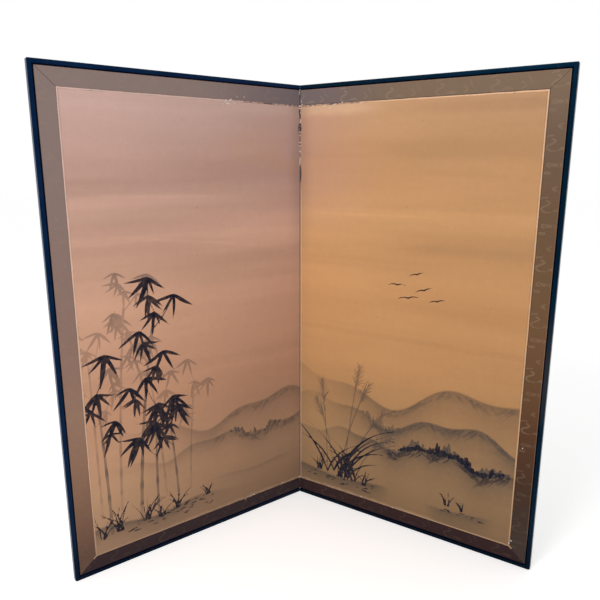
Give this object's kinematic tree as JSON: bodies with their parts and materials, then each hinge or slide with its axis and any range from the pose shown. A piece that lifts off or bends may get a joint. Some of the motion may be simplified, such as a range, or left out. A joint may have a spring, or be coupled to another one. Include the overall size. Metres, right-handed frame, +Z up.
{
  "type": "two-panel folding screen",
  "caption": "Free-standing byobu folding screen: paper-covered lattice panels faced with painted silk and brocade, in a black lacquered frame, folding both ways on paper hinges.",
  "frame": {"origin": "middle of the footprint on the floor, with the screen standing in its V of 110 degrees", "axes": "+Z up; the V opens towards -Y, where the painted faces are seen from; +X towards the right panel"},
  "size_m": [1.6104, 0.5714, 1.7],
  "materials": {
    "lacquer": "black lacquer, satin to gloss",
    "core_wood": "planed softwood",
    "under_paper": "pasted paper",
    "hinge_paper": "tough paper",
    "painting_silk": "aged silk, matte",
    "brocade": "woven brocade",
    "edging_gold": "pale gold strip",
    "back_paper": "patterned backing paper",
    "nail_steel": "plain"
  },
  "bodies": {
    "front_wings": {"hinge_wing_1": "hinge_paper", "hinge_wing_3": "hinge_paper", "hinge_wing_5": "hinge_paper", "hinge_wing_7": "hinge_paper"},
    "left_panel": {"left_frame_top": "lacquer", "left_frame_outer": "lacquer", "left_frame_bottom": "lacquer", "left_frame_nails": "nail_steel", "left_core_hinge_stile": "core_wood", "left_core_outer_stile": "core_wood", "left_core_top_rail": "core_wood", "left_core_bottom_rail": "core_wood", "left_core_upright_ribs": "core_wood", "left_core_cross_ribs": "core_wood", "left_front_under_paper": "under_paper", "left_back_under_paper": "under_paper", "left_front_flaps": "hinge_paper", "left_back_flaps": "hinge_paper", "left_hinge_edge_paper": "hinge_paper", "left_painting_silk": "painting_silk", "left_border_top": "brocade", "left_edging_strip_top": "edging_gold", "left_border_outer": "brocade", "left_edging_strip_outer": "edging_gold", "left_border_bottom": "brocade", "left_edging_strip_bottom": "edging_gold", "left_back_paper": "back_paper"},
    "right_panel": {"right_frame_top": "lacquer", "right_frame_outer": "lacquer", "right_frame_bottom": "lacquer", "right_frame_nails": "nail_steel", "right_core_hinge_stile": "core_wood", "right_core_outer_stile": "core_wood", "right_core_top_rail": "core_wood", "right_core_bottom_rail": "core_wood", "right_core_upright_ribs": "core_wood", "right_core_cross_ribs": "core_wood", "right_front_under_paper": "under_paper", "right_back_under_paper": "under_paper", "right_front_flaps": "hinge_paper", "right_back_flaps": "hinge_paper", "right_hinge_edge_paper": "hinge_paper", "right_painting_silk": "painting_silk", "right_border_top": "brocade", "right_edging_strip_top": "edging_gold", "right_border_outer": "brocade", "right_edging_strip_outer": "edging_gold", "right_border_bottom": "brocade", "right_edging_strip_bottom": "edging_gold", "right_back_paper": "back_paper"},
    "back_wings": {"hinge_wing_2": "hinge_paper", "hinge_wing_4": "hinge_paper", "hinge_wing_6": "hinge_paper"}
  },
  "joints": [
    {"name": "front_fold", "type": "hinge", "parent": "front_wings", "child": "left_panel", "pos_m": [0, 0.26989, 0], "axis": [0, 0, 1], "range_deg": [-70, 110]},
    {"name": "back_fold", "type": "hinge", "parent": "front_wings", "child": "right_panel", "pos_m": [0.01136, 0.28611, 0], "axis": [0, 0, 1], "range_deg": [0, 180]},
    {"name": "back_wings_turn", "type": "hinge", "parent": "left_panel", "child": "back_wings", "pos_m": [-0.01136, 0.28611, 0], "axis": [0, 0, 1], "range_deg": [0, 180]}
  ],
  "couplings": [
    {"joint": "back_wings_turn", "follows": "back_fold", "ratio": 1}
  ]
}
